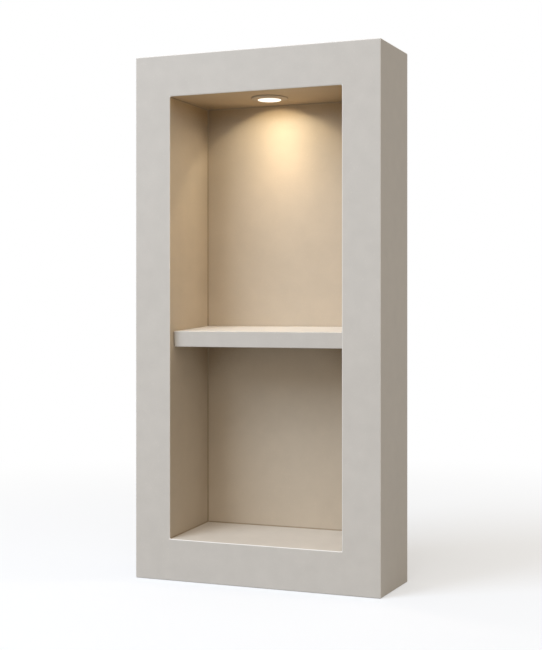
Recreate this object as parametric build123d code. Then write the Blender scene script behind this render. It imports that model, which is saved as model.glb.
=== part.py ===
from build123d import *
import os
from math import cos, radians, sin, tan

# A shower niche insert: a one-piece cast casing with an upper and a lower compartment,
# a shelf slab that slides over four hidden pins, and a small sealed lamp in the ceiling.
# Origin at the centre of the base, +X to the right, +Y to the back, +Z up. Millimetres.

# Casing
outer_width = 356.0
outer_height = 720.0
outer_depth = 116.0
wall = 6.0
side_margin = 53.0  # front frame beside the opening
end_margin = 57.0  # front frame above and below the opening
floor_pitch_deg = 4.1  # forward fall of the recess floor
side_draft_deg = 2.7  # taper of the recess sides towards the back
ceiling_draft_deg = 1.9  # fall of the recess ceiling towards the back
outer_edge_radius = 1.5
opening_edge_radius = 1.5
tub_corner_radius = 2.0
cavity_corner_radius = 4.0

# Gussets that tie the tub to the skirt behind the frame
gusset_thickness = 5.0
gusset_depth_at_tub = 80.0
gusset_depth_at_skirt = 45.0
side_gussets = 3
end_gussets_per_half = 1

# Shelf and its pins
lower_clear_height = 263.0  # floor to the shelf's underside, at the front
shelf_thickness = 21.5
shelf_pitch_deg = 3.5  # forward fall of the shelf
shelf_setback = 10.5
shelf_end_gap = 0.4
shelf_rear_gap = 1.0
shelf_edge_radius = 0.8
pin_radius = 2.5
pin_projection = 9.0
pin_embed = 9.0
pin_front_inset = 24.0
pin_rear_inset = 18.0
pin_boss_wall = 4.5
pin_boss_floor = 2.0
pin_chamfer = 0.5
pin_fit = 0.05
pin_slot_clearance = 0.25

# Lamp: lens, trim ring and its threaded sleeve
lamp_setback = 55.0  # front face to the lamp's axis
lens_radius = 16.0
lens_stand = 1.4  # straight edge of the lens below the trim ring
lens_edge_radius = 0.8
lens_bulge = 1.0
lens_rim_width = 1.8
lens_rim_thickness = 2.0
lens_clearance = 0.3
trim_flange = 5.0  # reach of the flange past the sleeve
trim_thickness = 1.6
trim_bevel = 0.6
trim_lip_thickness = 1.2
sleeve_wall = 1.9
sleeve_spare = 3.0  # thread left over above the ring nut
hole_clearance = 0.5
gasket_thickness = 0.6
gasket_inset = 1.0
seat_margin = 0.5  # flat lamp seat past the trim ring
seat_depth = 0.2
thread_clearance = 0.1
washer_thickness = 1.0
nut_height = 6.0
nut_width = 6.5
nut_notches = 8
nut_notch_width = 4.0
nut_notch_depth = 2.0

# Lamp: housing with its heat sink
seal_thickness = 1.5
seal_inset = 0.8
nose_width = 4.6  # barrel wall that presses on the seal
sink_base = 6.0  # metal between the light engine and the fins
sink_flange_thickness = 2.0
sink_flange_overhang = 1.5
core_radius = 12.5
fin_count = 18
fin_thickness = 1.4
fin_height = 14.0
fin_reach = 8.5

# Lamp: light engine
engine_clearance = 0.5
board_thickness = 1.6
pad_thickness = 0.5
emitter_radius = 5.0
emitter_height = 1.0
screw_edge = 3.5  # board's rim to a screw's axis
screw_radius = 1.0
screw_head_radius = 1.9
screw_head_height = 1.4
screw_bite = 3.0
screw_clearance = 0.1
reflector_wall = 0.8
wire_edge = 4.5  # board's rim to the wire hole's axis
wire_hole_radius = 1.5

# Lamp: cable gland
cable_radius = 2.5
cable_clearance = 0.25
gland_seal_wall = 1.0
gland_seal_length = 5.0
gland_seal_clearance = 0.1
gland_thread_wall = 1.25
gland_thread_length = 7.0
gland_hole_spare = 1.0
gland_stem_wall = 0.8
gland_stem_length = 6.0
gland_hex_thickness = 3.0
gland_nut_wall = 1.0
gland_nut_face = 1.8
gland_nut_gap = 0.4
gland_boss_margin = 0.15  # boss past the hexagon's corners
gland_boss_lift = 0.5  # boss above the heat sink's flange
gland_standoff = 1.0  # boss face past the heat sink's rim

# Planes and levels that the pieces share
front_y = -outer_depth / 2
rear_y = outer_depth / 2
tub_rear_y = rear_y - wall
opening_width = outer_width - 2 * side_margin
ceiling_z = outer_height - end_margin
overcut = 5.0  # how far a cutting tool runs past the face it opens
floor_pitch = radians(floor_pitch_deg)
shelf_pitch = radians(shelf_pitch_deg)

shelf_front_y = front_y + shelf_setback
shelf_front_z = end_margin + lower_clear_height + shelf_thickness * cos(shelf_pitch)
shelf_rear_y = tub_rear_y - shelf_rear_gap

lamp_y = front_y + lamp_setback
lens_rim_radius = lens_radius + lens_rim_width
sleeve_inner_radius = lens_rim_radius + lens_clearance
sleeve_radius = sleeve_inner_radius + sleeve_wall
trim_radius = sleeve_radius + trim_flange
nut_radius = sleeve_radius + nut_width
seat_radius = trim_radius + seat_margin
seat_front_y = lamp_y - seat_radius
seat_fall = (seat_front_y - front_y) * tan(radians(ceiling_draft_deg))
seat_z = ceiling_z - seat_fall + seat_depth
gasket_z = seat_z - gasket_thickness
trim_z = gasket_z - trim_thickness
lens_seat_z = trim_z + trim_lip_thickness
lens_top_z = lens_seat_z + lens_rim_thickness
barrel_z = lens_top_z + seal_thickness
washer_z = ceiling_z + wall
nut_z = washer_z + washer_thickness
sleeve_top_z = nut_z + nut_height + sleeve_spare
fin_z = sleeve_top_z + sink_flange_thickness
cavity_top_z = fin_z - sink_base
cavity_radius = sleeve_inner_radius - nose_width
pad_z = cavity_top_z - pad_thickness
board_z = pad_z - board_thickness
board_radius = cavity_radius - engine_clearance
screw_offset = board_radius - screw_edge
wire_offset = board_radius - wire_edge
sink_flange_radius = sleeve_radius + sink_flange_overhang
fin_radius = core_radius + fin_reach

gland_bore_radius = cable_radius + cable_clearance
gland_thread_radius = gland_bore_radius + gland_thread_wall
gland_seal_radius = gland_bore_radius + gland_seal_wall
gland_seat_radius = gland_seal_radius + gland_seal_clearance
gland_stem_radius = gland_seat_radius + gland_stem_wall
gland_hex_radius = gland_stem_radius + thread_clearance + gland_nut_wall
gland_boss_radius = gland_hex_radius / cos(radians(30)) + gland_boss_margin
gland_reach = max(fin_radius, sink_flange_radius) + gland_standoff
gland_y = lamp_y + gland_reach
gland_z = fin_z + gland_boss_radius + gland_boss_lift
gland_stem_end = gland_hex_thickness + gland_stem_length


def floor_z(y, drop=0.0):
    """Height of the pitched floor at a depth, lowered by a wall where one is given."""
    return end_margin + (y - front_y) * tan(floor_pitch) - drop / cos(floor_pitch)


def half_width(y):
    """Half the width of the tapered recess at a depth."""
    return opening_width / 2 - (y - front_y) * tan(radians(side_draft_deg))


def side_profile(points, width):
    """Prism across the casing, from a profile of (y, z) points."""
    return extrude(Plane.YZ * Polygon(*points, align=None), width / 2, both=True)


def plan_profile(start, end, margin):
    """Upright prism with the recess's plan between two depths, grown by a margin."""
    near = half_width(start) + margin
    far = half_width(end) + margin
    plan = Polygon((-near, start), (near, start), (far, end), (-far, end), align=None)
    return extrude(plan, outer_height)


def turned(points):
    """Solid turned about the lamp's axis, from (radius, height) points."""
    profile = Plane.XZ * Polygon(*points, align=None)
    return Pos(0, lamp_y, 0) * revolve(profile, Axis.Z)


def turned_on_gland(points):
    """Solid turned about the gland's axis, from (radius, distance from the boss) points."""
    profile = Plane.XY * Polygon(*points, align=None)
    return Pos(0, gland_y, gland_z) * revolve(profile, Axis.Y)


def along_gland(start, length, sketch):
    """Prism along the gland's axis, from a distance behind the boss face."""
    plane = Plane((0, gland_y + start, gland_z), x_dir=(1, 0, 0), z_dir=(0, 1, 0))
    return extrude(plane * sketch, length)


def rod(radius, start, end, x, y):
    """Upright round bar between two heights."""
    return Pos(x, y, (start + end) / 2) * Cylinder(radius, end - start)


# Casing


def casing_shell():
    """Front frame and skirt, open at the back, with rounded edges."""
    block = Pos(0, 0, outer_height / 2) * Box(outer_width, outer_depth, outer_height)
    rear_edges = block.faces().sort_by(Axis.Y)[-1].edges()
    block = fillet(block.edges() - rear_edges, outer_edge_radius)
    cavity_depth_y = outer_depth - wall + overcut
    cavity = Box(outer_width - 2 * wall, cavity_depth_y, outer_height - 2 * wall)
    cavity = Pos(0, front_y + wall + cavity_depth_y / 2, outer_height / 2) * cavity
    return block - fillet(cavity.edges().filter_by(Axis.Y), cavity_corner_radius)


def tub_block():
    """Outside of the recess: its four walls and back, still solid."""
    start = front_y + wall / 2
    profile = [
        (start, floor_z(start, wall)),
        (rear_y, floor_z(rear_y, wall)),
        (rear_y, ceiling_z + wall),
        (start, ceiling_z + wall),
    ]
    return side_profile(profile, outer_width) & plan_profile(start, rear_y, wall)


def tub_void():
    """Inside of the recess: pitched floor, tapered sides and ceiling, rounded corners."""
    start = front_y - overcut
    fall = tan(radians(ceiling_draft_deg))
    profile = [
        (start, floor_z(start)),
        (tub_rear_y, floor_z(tub_rear_y)),
        (tub_rear_y, ceiling_z - (tub_rear_y - front_y) * fall),
        (start, ceiling_z + overcut * fall),
    ]
    void = side_profile(profile, outer_width) & plan_profile(start, tub_rear_y, 0)
    mouth_edges = void.faces().sort_by(Axis.Y)[0].edges()
    return fillet(void.edges() - mouth_edges, tub_corner_radius)


def gusset(tub_side, skirt_side, plane):
    """Tapered web between the tub and the skirt, drawn on a plane whose y runs backwards."""
    start = front_y + wall / 2
    outline = [
        (tub_side, start),
        (skirt_side, start),
        (skirt_side, front_y + gusset_depth_at_skirt),
        (tub_side, front_y + gusset_depth_at_tub),
    ]
    return extrude(plane * Polygon(*outline, align=None), gusset_thickness / 2, both=True)


def gussets():
    """Webs beside, above and below the tub."""
    webs = []
    for step in range(side_gussets):
        height = outer_height * (step + 1) / (side_gussets + 1)
        for side in (-1, 1):
            level = Plane((0, 0, height), x_dir=(1, 0, 0), z_dir=(0, 0, 1))
            tub_side = side * (half_width(front_y + gusset_depth_at_tub) + wall / 2)
            skirt_side = side * (outer_width - wall) / 2
            webs.append(gusset(tub_side, skirt_side, level))
    tub_half_width = opening_width / 2 + wall
    for step in range(end_gussets_per_half):
        share = (step + 1) / (end_gussets_per_half + 1)
        across = nut_radius + (tub_half_width - nut_radius) * share
        for side in (-1, 1):
            upright = Plane((side * across, 0, 0), x_dir=(0, 0, 1), z_dir=(-1, 0, 0))
            webs.append(gusset(ceiling_z + wall / 2, outer_height - wall / 2, upright))
            webs.append(gusset(floor_z(rear_y), wall / 2, upright))
    return webs


def pin_axes():
    """(side, y, z) of each shelf pin's axis."""
    slab_depth = (shelf_rear_y - shelf_front_y) / cos(shelf_pitch)
    axes = []
    for along in (pin_front_inset, slab_depth - pin_rear_inset):
        y = shelf_front_y + along * cos(shelf_pitch) + shelf_thickness / 2 * sin(shelf_pitch)
        z = shelf_front_z + along * sin(shelf_pitch) - shelf_thickness / 2 * cos(shelf_pitch)
        axes += [(-1, y, z), (1, y, z)]
    return axes


def bar_into_wall(side, y, z, radius, start, length):
    """Round bar along X that starts at a distance outside the opening's side."""
    middle = side * (opening_width / 2 + start + length / 2)
    return Pos(middle, y, z) * Rot(0, 90, 0) * Cylinder(radius, length)


def niche_body():
    """One-piece casting: frame, skirt, tub, gussets and the bosses of the shelf pins."""
    boss_radius = pin_radius + pin_boss_wall
    boss_length = overcut + pin_embed + pin_boss_floor
    body = casing_shell() + tub_block() + gussets()
    body += [bar_into_wall(*axis, boss_radius, -overcut, boss_length) for axis in pin_axes()]
    body -= tub_void()
    hole = pin_radius + pin_fit
    body -= [bar_into_wall(*axis, hole, -overcut, overcut + pin_embed) for axis in pin_axes()]
    hole_radius = sleeve_radius + hole_clearance
    body -= rod(hole_radius, ceiling_z - overcut, ceiling_z + wall + overcut, 0, lamp_y)
    body -= rod(seat_radius, seat_z - overcut, seat_z, 0, lamp_y)
    front = body.faces().filter_by(Axis.Y).sort_by(Axis.Y)[0]
    return fillet(front.inner_wires()[0].edges(), opening_edge_radius)


# Shelf


def shelf():
    """Pitched, tapered slab with rounded edges and a slot in each end for its pins."""
    fall = tan(shelf_pitch)
    rear_top_z = shelf_front_z + (shelf_rear_y - shelf_front_y) * fall
    profile = [
        (shelf_front_y, shelf_front_z),
        (shelf_rear_y, rear_top_z),
        (shelf_rear_y, rear_top_z - shelf_thickness / cos(shelf_pitch)),
        (
            shelf_front_y + shelf_thickness * sin(shelf_pitch),
            shelf_front_z - shelf_thickness * cos(shelf_pitch),
        ),
    ]
    plan = plan_profile(front_y, shelf_rear_y + overcut, -shelf_end_gap)
    slab = side_profile(profile, outer_width) & plan
    rear_corners = slab.faces().sort_by(Axis.Y)[-1].edges().filter_by(Axis.Z)
    slab = fillet(rear_corners, tub_corner_radius)
    front_edges = slab.faces().sort_by(Axis.Y)[0].edges()
    top_edges = slab.faces().sort_by(Axis.Z)[-1].edges()
    slab = fillet(front_edges + (top_edges - front_edges), shelf_edge_radius)
    return slab - [pin_slot(side) for side in (-1, 1)]


def pin_slot(side):
    """Cutter for one end's slot, open at the rear, that slides over the pins."""
    _, y, z = pin_axes()[0]
    half_height = pin_radius + pin_slot_clearance
    slot_depth = pin_projection - shelf_end_gap + pin_slot_clearance
    middle = side * (opening_width / 2 - shelf_end_gap - slot_depth / 2)
    length = (shelf_rear_y - y) / cos(shelf_pitch) + overcut
    round_end = Rot(0, 90, 0) * Cylinder(half_height, slot_depth)
    straight = Pos(0, length / 2, 0) * Box(slot_depth, length, 2 * half_height)
    outside = Pos(side * (slot_depth + overcut) / 2, length / 2 - half_height, 0)
    mouth = outside * Box(overcut, length + 2 * half_height, 2 * half_height)
    pitched = Pos(middle, y, z) * Rot(shelf_pitch_deg, 0, 0)
    return pitched * (round_end + straight + mouth)


def shelf_pins():
    """Four steel pins, pressed into the bosses of the tub's side walls."""
    length = pin_embed + pin_projection
    bars = [bar_into_wall(*axis, pin_radius, -pin_projection, length) for axis in pin_axes()]
    return [chamfer(bar.edges(), pin_chamfer) for bar in bars]


# Lamp


def trim_ring():
    """Turned flange with the lip that holds the lens, and the sleeve above it."""
    aperture = lens_radius + lens_clearance
    return turned(
        [
            (aperture, trim_z + trim_bevel),
            (aperture + trim_bevel, trim_z),
            (trim_radius - trim_bevel, trim_z),
            (trim_radius, trim_z + trim_bevel),
            (trim_radius, gasket_z),
            (sleeve_radius, gasket_z),
            (sleeve_radius, sleeve_top_z),
            (sleeve_inner_radius, sleeve_top_z),
            (sleeve_inner_radius, lens_seat_z),
            (aperture, lens_seat_z),
        ]
    )


def ring(inner, outer, start, end):
    """Flat ring about the lamp's axis."""
    return turned([(inner, start), (outer, start), (outer, end), (inner, end)])


def ceiling_gasket():
    """Silicone washer between the trim ring and the ceiling."""
    return ring(
        sleeve_radius + hole_clearance, trim_radius - gasket_inset, gasket_z, seat_z
    )


def nut_washer():
    """Slip washer between the ceiling and the ring nut."""
    return ring(sleeve_radius + hole_clearance, nut_radius, washer_z, nut_z)


def ring_nut():
    """Notched nut that clamps the lamp to the ceiling from behind."""
    nut = ring(sleeve_radius + thread_clearance, nut_radius, nut_z, nut_z + nut_height)
    notch = Box(2 * nut_notch_depth, nut_notch_width, nut_height)
    middle_z = nut_z + nut_height / 2
    places = PolarLocations(nut_radius, nut_notches)
    return nut - [Pos(0, lamp_y, middle_z) * place * notch for place in places]


def lens():
    """Frosted lens, flat above and faintly domed below, on a rim that the lip holds."""
    edge_z = trim_z - lens_stand
    dome_radius = lens_radius - lens_edge_radius
    dome_z = edge_z - lens_edge_radius
    apex = (0, dome_z - lens_bulge)
    outline = [
        Line((0, lens_top_z), (lens_rim_radius, lens_top_z)),
        Line((lens_rim_radius, lens_top_z), (lens_rim_radius, lens_seat_z)),
        Line((lens_rim_radius, lens_seat_z), (lens_radius, lens_seat_z)),
        Line((lens_radius, lens_seat_z), (lens_radius, edge_z)),
        TangentArc((lens_radius, edge_z), (dome_radius, dome_z), tangent=(0, -1)),
        TangentArc(apex, (dome_radius, dome_z), tangent=(1, 0)),
        Line(apex, (0, lens_top_z)),
    ]
    profile = Plane.XZ * make_face(outline)
    return Pos(0, lamp_y, 0) * revolve(profile, Axis.Z)


def lens_seal():
    """Flat silicone ring between the lens and the housing's nose."""
    inner = cavity_radius + seal_inset
    return ring(inner, sleeve_inner_radius - seal_inset, lens_top_z, barrel_z)


def fins():
    """Radial fins that stand out of the core."""
    length = fin_reach + core_radius / 2
    blade = Box(length, fin_thickness, fin_height)
    middle_z = fin_z + fin_height / 2
    middle_radius = fin_radius - length / 2
    return [
        Pos(0, lamp_y, middle_z) * place * blade
        for place in PolarLocations(middle_radius, fin_count)
    ]


def lamp_housing():
    """Aluminium body: threaded barrel, flange, finned heat sink and cable boss."""
    barrel = sleeve_inner_radius - thread_clearance
    body = turned(
        [
            (cavity_radius, barrel_z),
            (barrel, barrel_z),
            (barrel, sleeve_top_z),
            (sink_flange_radius, sleeve_top_z),
            (sink_flange_radius, fin_z),
            (core_radius, fin_z),
            (core_radius, fin_z + fin_height),
            (0, fin_z + fin_height),
            (0, cavity_top_z),
            (cavity_radius, cavity_top_z),
        ]
    )
    body += fins()
    body += along_gland(-gland_reach, gland_reach, Circle(gland_boss_radius))
    hole_depth = gland_thread_length + gland_hole_spare
    wire_run = gland_reach - wire_offset
    body -= along_gland(-hole_depth, hole_depth, Circle(gland_thread_radius))
    body -= along_gland(-wire_run, wire_run, Circle(wire_hole_radius))
    body -= rod(wire_hole_radius, cavity_top_z, gland_z, 0, lamp_y + wire_offset)
    screw_hole = screw_radius + screw_clearance
    for x in (-screw_offset, screw_offset):
        body -= rod(screw_hole, cavity_top_z, cavity_top_z + screw_bite, x, lamp_y)
    return body


def drilled_disc(start, end):
    """Round plate of the light engine, with its screw holes and wire hole."""
    disc = rod(board_radius, start, end, 0, lamp_y)
    disc -= rod(wire_hole_radius, start, end, 0, lamp_y + wire_offset)
    for x in (-screw_offset, screw_offset):
        disc -= rod(screw_radius + screw_clearance, start, end, x, lamp_y)
    return disc


def led_board():
    """Metal-cored board that carries the emitter."""
    return drilled_disc(board_z, pad_z)


def thermal_pad():
    """Heat-conducting pad between the board and the housing."""
    return drilled_disc(pad_z, cavity_top_z)


def led_emitter():
    """Round chip-on-board emitter under the board."""
    return rod(emitter_radius, board_z - emitter_height, board_z, 0, lamp_y)


def board_screws():
    """Two screws that hold the board to the housing."""
    screws = []
    for x in (-screw_offset, screw_offset):
        head = rod(screw_head_radius, board_z - screw_head_height, board_z, x, lamp_y)
        shank = rod(screw_radius, board_z, cavity_top_z + screw_bite, x, lamp_y)
        screws.append(head + shank)
    return screws


def reflector():
    """Thin cone that gathers the light from the emitter to the lens."""
    throat = emitter_radius + engine_clearance
    collar_z = board_z - emitter_height
    mouth = cavity_radius - engine_clearance
    return turned(
        [
            (throat, board_z),
            (throat, collar_z),
            (mouth - reflector_wall, barrel_z),
            (mouth, barrel_z),
            (throat + reflector_wall, collar_z),
            (throat + reflector_wall, board_z),
        ]
    )


# Cable gland on the heat sink's rear boss


def hexagon():
    """Hexagon of the gland's spanner size."""
    return RegularPolygon(gland_hex_radius, 6, major_radius=False)


def gland_body():
    """Threaded body with a hexagon, and the stem that holds the seal."""
    seal_start = gland_stem_end - gland_seal_length
    body = along_gland(0, gland_hex_thickness, hexagon())
    body += turned_on_gland(
        [
            (gland_bore_radius, -gland_thread_length),
            (gland_thread_radius - thread_clearance, -gland_thread_length),
            (gland_thread_radius - thread_clearance, 0),
            (gland_stem_radius, 0),
            (gland_stem_radius, gland_stem_end),
            (gland_seat_radius, gland_stem_end),
            (gland_seat_radius, seal_start),
            (gland_bore_radius, seal_start),
        ]
    )
    return body - along_gland(0, gland_hex_thickness, Circle(gland_bore_radius))


def gland_seal():
    """Rubber bush round the supply cable, relaxed, before its nut squeezes it."""
    start = gland_stem_end - gland_seal_length
    return turned_on_gland(
        [
            (gland_bore_radius, start),
            (gland_seal_radius, start),
            (gland_seal_radius, gland_stem_end),
            (gland_bore_radius, gland_stem_end),
        ]
    )


def gland_nut():
    """Cap nut that squeezes the seal."""
    start = gland_hex_thickness + gland_nut_gap
    socket = gland_stem_end - start
    nut = along_gland(start, socket + gland_nut_face, hexagon())
    nut -= along_gland(start, socket, Circle(gland_stem_radius + thread_clearance))
    return nut - along_gland(gland_stem_end, gland_nut_face, Circle(gland_bore_radius))


pieces = {
    "niche_body": niche_body,
    "shelf": shelf,
    "shelf_pins": shelf_pins,
    "trim_ring": trim_ring,
    "ceiling_gasket": ceiling_gasket,
    "nut_washer": nut_washer,
    "ring_nut": ring_nut,
    "lens": lens,
    "lens_seal": lens_seal,
    "reflector": reflector,
    "led_emitter": led_emitter,
    "led_board": led_board,
    "thermal_pad": thermal_pad,
    "board_screws": board_screws,
    "lamp_housing": lamp_housing,
    "gland_body": gland_body,
    "gland_seal": gland_seal,
    "gland_nut": gland_nut,
}

os.makedirs("parts", exist_ok=True)
for name, make in pieces.items():
    made = make()
    solids = made if isinstance(made, list) else [made]
    export_step(Compound(children=[*solids]), f"parts/{name}.step")
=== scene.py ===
"""Looks of a shower niche insert: a cast-stone casing with a shelf and a lit ceiling lamp.

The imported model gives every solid. This script gives each solid its finish, models the screw
thread that the lamp's sleeve has, and sets the floor, the lights and the camera. Metres.
"""

import logging
import math
from dataclasses import dataclass, field
from enum import Enum

import bpy
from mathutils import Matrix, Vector


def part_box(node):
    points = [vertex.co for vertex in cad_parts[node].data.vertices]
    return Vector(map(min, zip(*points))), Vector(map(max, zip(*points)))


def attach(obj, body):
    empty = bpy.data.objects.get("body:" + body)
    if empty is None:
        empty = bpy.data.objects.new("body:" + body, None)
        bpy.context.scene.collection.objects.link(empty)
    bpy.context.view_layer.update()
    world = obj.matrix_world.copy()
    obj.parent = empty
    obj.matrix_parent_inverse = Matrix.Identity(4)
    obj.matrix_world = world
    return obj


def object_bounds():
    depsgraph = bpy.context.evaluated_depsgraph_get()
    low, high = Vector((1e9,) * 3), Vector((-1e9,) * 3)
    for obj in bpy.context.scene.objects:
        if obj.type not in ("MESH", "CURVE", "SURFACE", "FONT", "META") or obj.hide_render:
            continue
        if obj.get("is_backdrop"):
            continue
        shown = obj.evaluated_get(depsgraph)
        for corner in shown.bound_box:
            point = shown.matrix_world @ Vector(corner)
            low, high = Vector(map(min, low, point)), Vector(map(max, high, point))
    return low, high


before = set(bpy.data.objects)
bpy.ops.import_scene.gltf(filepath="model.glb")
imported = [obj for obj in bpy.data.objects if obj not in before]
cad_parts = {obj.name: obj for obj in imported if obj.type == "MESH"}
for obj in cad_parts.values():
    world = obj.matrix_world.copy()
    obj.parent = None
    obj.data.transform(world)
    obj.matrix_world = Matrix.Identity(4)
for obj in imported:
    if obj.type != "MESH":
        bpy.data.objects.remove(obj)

LOG = logging.getLogger("niche")
BODY = "root"
Colour = tuple[float, float, float]
Point = tuple[float, float, float]
Socket = bpy.types.NodeSocket


class Slot(Enum):
    """Material slots of the record, one for each finish."""

    CAST_STONE = "cast_stone"
    PIN_STEEL = "pin_steel"
    TRIM_PAINT = "trim_paint"
    GASKET_SILICONE = "gasket_silicone"
    NUT_PLASTIC = "nut_plastic"
    FROSTED_LENS = "frosted_lens"
    SEAL_RUBBER = "seal_rubber"
    REFLECTOR_METAL = "reflector_metal"
    EMITTER_PHOSPHOR = "emitter_phosphor"
    BOARD_WHITE = "board_white"
    THERMAL_RUBBER = "thermal_rubber"
    SINK_ALUMINIUM = "sink_aluminium"
    GLAND_METAL = "gland_metal"


class Turning(Enum):
    """Axis that a turned piece was turned about."""

    LAMP = "Z"
    GLAND = "Y"
    PIN = "X"


# Regions


@dataclass(frozen=True)
class Plane:
    """Flat limit of a region: a point is inside up to the plane's reach along its normal."""

    normal: Vector
    reach: float

    @classmethod
    def through(cls, point: Point | Vector, normal: Point | Vector) -> "Plane":
        """Plane through a point, facing along a normal."""
        unit = Vector(normal).normalized()
        return cls(unit, unit.dot(Vector(point)))

    def moved(self, distance: float) -> "Plane":
        """The same plane moved along its normal."""
        return Plane(self.normal, self.reach + distance)


# Node graphs


class Graph:
    """Adds, sets and links the nodes of one shader tree."""

    # A Mix node keeps sockets for every kind of data, and these are the ones for colours.
    mix_inputs = (0, 6, 7)
    mix_output = 2

    def __init__(self, tree: bpy.types.NodeTree) -> None:
        """Takes the tree to fill, and empties it."""
        self.tree = tree
        tree.nodes.clear()

    def feed(self, target: Socket, value: object) -> None:
        """Links a socket to an input, or sets the input's own value.

        Args:
            target: The input socket.
            value: A socket to link, or a number, colour or vector to set.
        """
        if isinstance(value, bpy.types.NodeSocket):
            self.tree.links.new(value, target)
        elif target.type == "RGBA":
            target.default_value = (*value, 1.0)
        else:
            target.default_value = value

    def add(
        self, kind: str, inputs: dict[str | int, object] | None = None, **settings: object
    ) -> bpy.types.Node:
        """Adds one node.

        Args:
            kind: The node's type, without its ShaderNode prefix.
            inputs: Values or sockets for its inputs, by name or place.
            settings: Values for the node's own properties.

        Returns:
            The new node.
        """
        node = self.tree.nodes.new(f"ShaderNode{kind}")
        for name, value in settings.items():
            setattr(node, name, value)
        for key, value in (inputs or {}).items():
            self.feed(node.inputs[key], value)
        return node

    def maths(self, operation: str, *values: object) -> Socket:
        """Result of one Math node."""
        return self.add("Math", dict(enumerate(values)), operation=operation).outputs[0]

    def vectors(self, operation: str, *values: object) -> Socket:
        """Vector result of one Vector Math node."""
        return self.add("VectorMath", dict(enumerate(values)), operation=operation).outputs[0]

    def remap(self, value: Socket, start: float, end: float, low: float, high: float) -> Socket:
        """Value moved from one range to another, clamped and eased.

        Args:
            value: The value to move.
            start: Value that becomes low.
            end: Value that becomes high.
            low: Result at start.
            high: Result at end.

        Returns:
            The moved value.
        """
        inputs = {"Value": value, "From Min": start, "From Max": end, "To Min": low, "To Max": high}
        return self.add("MapRange", inputs, interpolation_type="SMOOTHSTEP").outputs["Result"]

    def noise(self, vector: Socket, scale: float | Socket, detail: float) -> Socket:
        """Noise from minus one to one.

        Args:
            vector: Position vector.
            scale: Cells in a metre.
            detail: How many finer layers it has.

        Returns:
            The noise.
        """
        inputs = {"Vector": vector, "Scale": scale, "Detail": detail}
        fac = self.add("TexNoise", inputs).outputs["Fac"]
        return self.maths("MULTIPLY_ADD", fac, 2.0, -1.0)

    def mix(self, factor: object, first: object, second: object, blend: str = "MIX") -> Socket:
        """Mix of two colours.

        Args:
            factor: Share of the second colour.
            first: Colour at factor zero.
            second: Colour at factor one.
            blend: Name of the blend mode.

        Returns:
            The mixed colour.
        """
        node = self.add("Mix", data_type="RGBA", blend_type=blend)
        for place, value in zip(self.mix_inputs, (factor, first, second)):
            self.feed(node.inputs[place], value)
        return node.outputs[self.mix_output]

    def shade(self, colour: object, tone: Socket) -> Socket:
        """Colour times a grey tone."""
        grey = self.add("CombineColor", {"Red": tone, "Green": tone, "Blue": tone}).outputs[0]
        return self.mix(1.0, colour, grey, "MULTIPLY")

    def bump(self, height: Socket, depth: float) -> Socket:
        """Normal of a surface with a height of that depth in metres."""
        return self.add("Bump", {"Height": height, "Distance": depth}).outputs["Normal"]

    def gap(self, place: Socket, plane: Plane) -> Socket:
        """Distance from a point to a plane, above zero on its inner side."""
        along = self.add("VectorMath", {0: place, 1: plane.normal}, operation="DOT_PRODUCT")
        return self.maths("SUBTRACT", plane.reach, along.outputs["Value"])

    def two_gaps(self, place: Socket, planes: list[Plane]) -> tuple[Socket, Socket]:
        """Distances from a point to the nearest and the second nearest of several planes.

        Args:
            place: Position vector.
            planes: Limits of a region.

        Returns:
            The smaller and the larger distance, below zero outside the region.
        """
        first, second, *rest = [self.gap(place, plane) for plane in planes]
        nearest = self.maths("MINIMUM", first, second)
        next_nearest = self.maths("MAXIMUM", first, second)
        for distance in rest:
            farther = self.maths("MAXIMUM", nearest, distance)
            next_nearest = self.maths("MINIMUM", next_nearest, farther)
            nearest = self.maths("MINIMUM", nearest, distance)
        return nearest, next_nearest

    def within(self, place: Socket, planes: list[Plane]) -> Socket:
        """One inside a region and zero outside it."""
        return self.maths("GREATER_THAN", self.two_gaps(place, planes)[0], 0.0)


# Effects that several finishes share


class Effect:
    """A surface effect kept as one node group with named sockets."""

    name: str = ""
    takes: dict[str, str] = {}
    gives: dict[str, str] = {}

    def fill(self, graph: Graph, source: dict[str, Socket]) -> dict[str, Socket]:
        """Adds the effect's nodes.

        Args:
            graph: Graph of the group.
            source: The group's input sockets, by name.

        Returns:
            The sockets that the group puts out, by name.
        """
        raise NotImplementedError

    def tree(self) -> bpy.types.NodeTree:
        """The effect's node group, built on the first call.

        Returns:
            The node group.
        """
        if self.name in bpy.data.node_groups:
            return bpy.data.node_groups[self.name]
        tree = bpy.data.node_groups.new(self.name, "ShaderNodeTree")
        for way, sockets in (("INPUT", self.takes), ("OUTPUT", self.gives)):
            for label, kind in sockets.items():
                tree.interface.new_socket(label, in_out=way, socket_type=f"NodeSocket{kind}")
        graph = Graph(tree)
        source = tree.nodes.new("NodeGroupInput")
        result = tree.nodes.new("NodeGroupOutput")
        made = self.fill(graph, {label: source.outputs[label] for label in self.takes})
        for label, socket in made.items():
            tree.links.new(socket, result.inputs[label])
        return tree

    def place(self, graph: Graph, **values: object) -> dict[str, Socket]:
        """Adds the group to a material's graph.

        Args:
            graph: Graph of the material.
            values: Values or sockets for the group's inputs, by name.

        Returns:
            The group's output sockets, by name.
        """
        node = graph.tree.nodes.new("ShaderNodeGroup")
        node.node_tree = self.tree()
        for label, value in values.items():
            graph.feed(node.inputs[label], value)
        return {label: node.outputs[label] for label in self.gives}


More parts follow.
